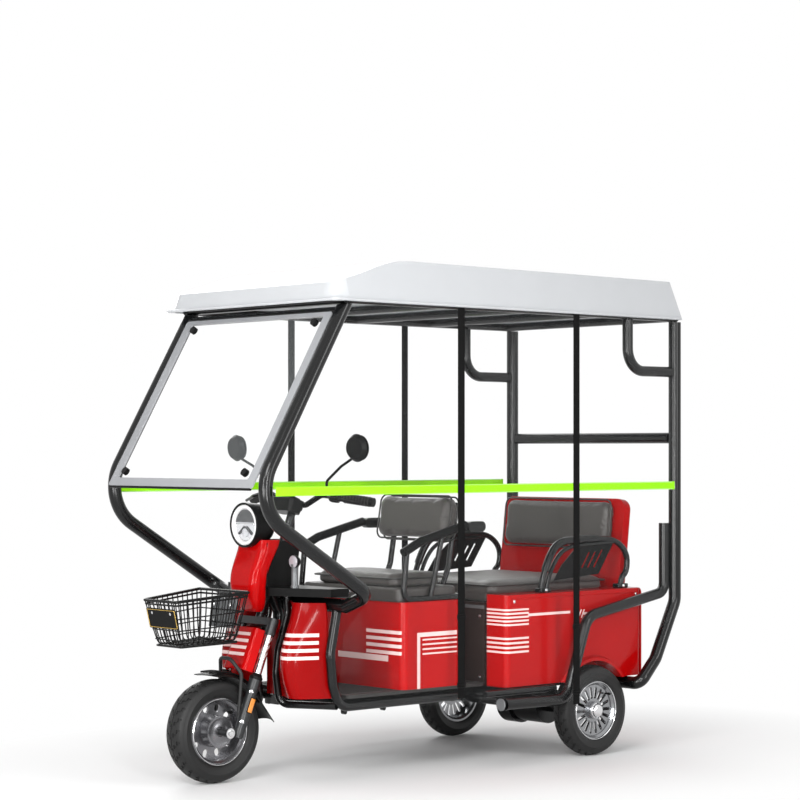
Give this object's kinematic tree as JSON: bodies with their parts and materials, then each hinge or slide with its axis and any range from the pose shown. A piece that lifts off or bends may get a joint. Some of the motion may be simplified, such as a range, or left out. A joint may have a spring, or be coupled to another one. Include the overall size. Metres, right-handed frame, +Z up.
{
  "type": "electric passenger tricycle",
  "caption": "Roofed electric tricycle with a windscreen, clear side curtains, a driver's seat, a rear bench and a wire basket; steers and rolls.",
  "frame": {"origin": "on the ground, at the middle of the outline seen from above", "axes": "+Z up, -Y towards the front wheel, +X to the rider's left"},
  "size_m": [1.012, 2.2449, 1.89],
  "materials": {
    "tyre": "matt black tread rubber",
    "chrome_steel": "bright chrome plating",
    "dark_steel": "satin black",
    "grey_alloy": "dark grey cast alloy",
    "red_paint": "glossy red moulding",
    "grip_rubber": "ribbed black rubber",
    "black_plastic": "fine grained black",
    "frame_paint": "satin black powder coat",
    "roof_white": "white moulded shell",
    "liner_grey": "plain grey board",
    "strip_grey": "grey edging",
    "clear_pane": "clear acrylic",
    "clear_film": "clear soft film",
    "strap_black": "woven webbing",
    "lime_band": "bright reflective tape",
    "lamp_shell": "lamp with a bright ring",
    "wire_black": "dipped black wire",
    "plate_blank": "blank plate",
    "floor_mat": "ribbed black mat",
    "battery_case": "plain block",
    "seat_vinyl": "dark stitched vinyl",
    "dark_panel": "dark panel",
    "lamp_red": "red lens"
  },
  "bodies": {
    "frame": {"basket": "wire_black", "battery": "battery_case", "chassis": "frame_paint", "curtain_films": "clear_film", "curtain_straps": "strap_black", "driver_armrests": "black_plastic", "driver_backrest": "seat_vinyl", "driver_cushion": "seat_vinyl", "driver_seat_frame": "frame_paint", "footboard": "floor_mat", "front_cowl": "red_paint", "headlight": "lamp_shell", "inner_fascia": "black_plastic", "knee_tray": "black_plastic", "leaf_springs": "dark_steel", "leg_shields": "red_paint", "number_plate": "plate_blank", "rear_armrests": "frame_paint", "rear_axle": "dark_steel", "rear_backrest_cushion": "seat_vinyl", "rear_backrest_shell": "red_paint", "rear_braces": "frame_paint", "rear_cushion": "seat_vinyl", "rear_panel": "red_paint", "rear_posts": "frame_paint", "rear_seat_base": "dark_panel", "rear_wing_left": "red_paint", "rear_wing_right": "red_paint", "reflective_bands": "lime_band", "roof_frame": "frame_paint", "roof_liner": "liner_grey", "roof_shell": "roof_white", "seat_box": "red_paint", "seat_lid": "dark_panel", "side_tubes": "frame_paint", "step_rails": "frame_paint", "tail_lamps": "lamp_red", "turn_signals": "black_plastic", "wheel_loops": "frame_paint", "windscreen_frame": "strip_grey", "windscreen_knobs": "black_plastic", "windscreen_pane": "clear_pane"},
    "steering": {"fork_crown": "dark_steel", "fork_stanchions": "chrome_steel", "fork_legs": "grey_alloy", "fork_shroud": "red_paint", "front_fender": "red_paint", "fender_hoop": "chrome_steel", "handlebar": "dark_steel", "grips": "grip_rubber", "brake_levers": "dark_steel", "mirrors": "black_plastic", "instrument_pod": "black_plastic"},
    "front_wheel": {"front_tyre": "tyre", "front_rim": "chrome_steel"},
    "rear_wheel_left": {"rear_tyre_left": "tyre", "rear_rim_left": "chrome_steel"},
    "rear_wheel_right": {"rear_tyre_right": "tyre", "rear_rim_right": "chrome_steel"}
  },
  "joints": [
    {"name": "steering_pivot", "type": "hinge", "parent": "frame", "child": "steering", "pos_m": [0, -0.6835, 0.56], "axis": [0, 0.3746, 0.9272], "range_deg": [-30, 30]},
    {"name": "front_wheel_spin", "type": "hinge", "parent": "steering", "child": "front_wheel", "pos_m": [0, -0.8835, 0.1882], "axis": [1, 0, 0], "continuous": true},
    {"name": "rear_left_wheel_spin", "type": "hinge", "parent": "frame", "child": "rear_wheel_left", "pos_m": [0.395, 0.6755, 0.1778], "axis": [1, 0, 0], "continuous": true},
    {"name": "rear_right_wheel_spin", "type": "hinge", "parent": "frame", "child": "rear_wheel_right", "pos_m": [-0.395, 0.6755, 0.1778], "axis": [1, 0, 0], "continuous": true}
  ]
}
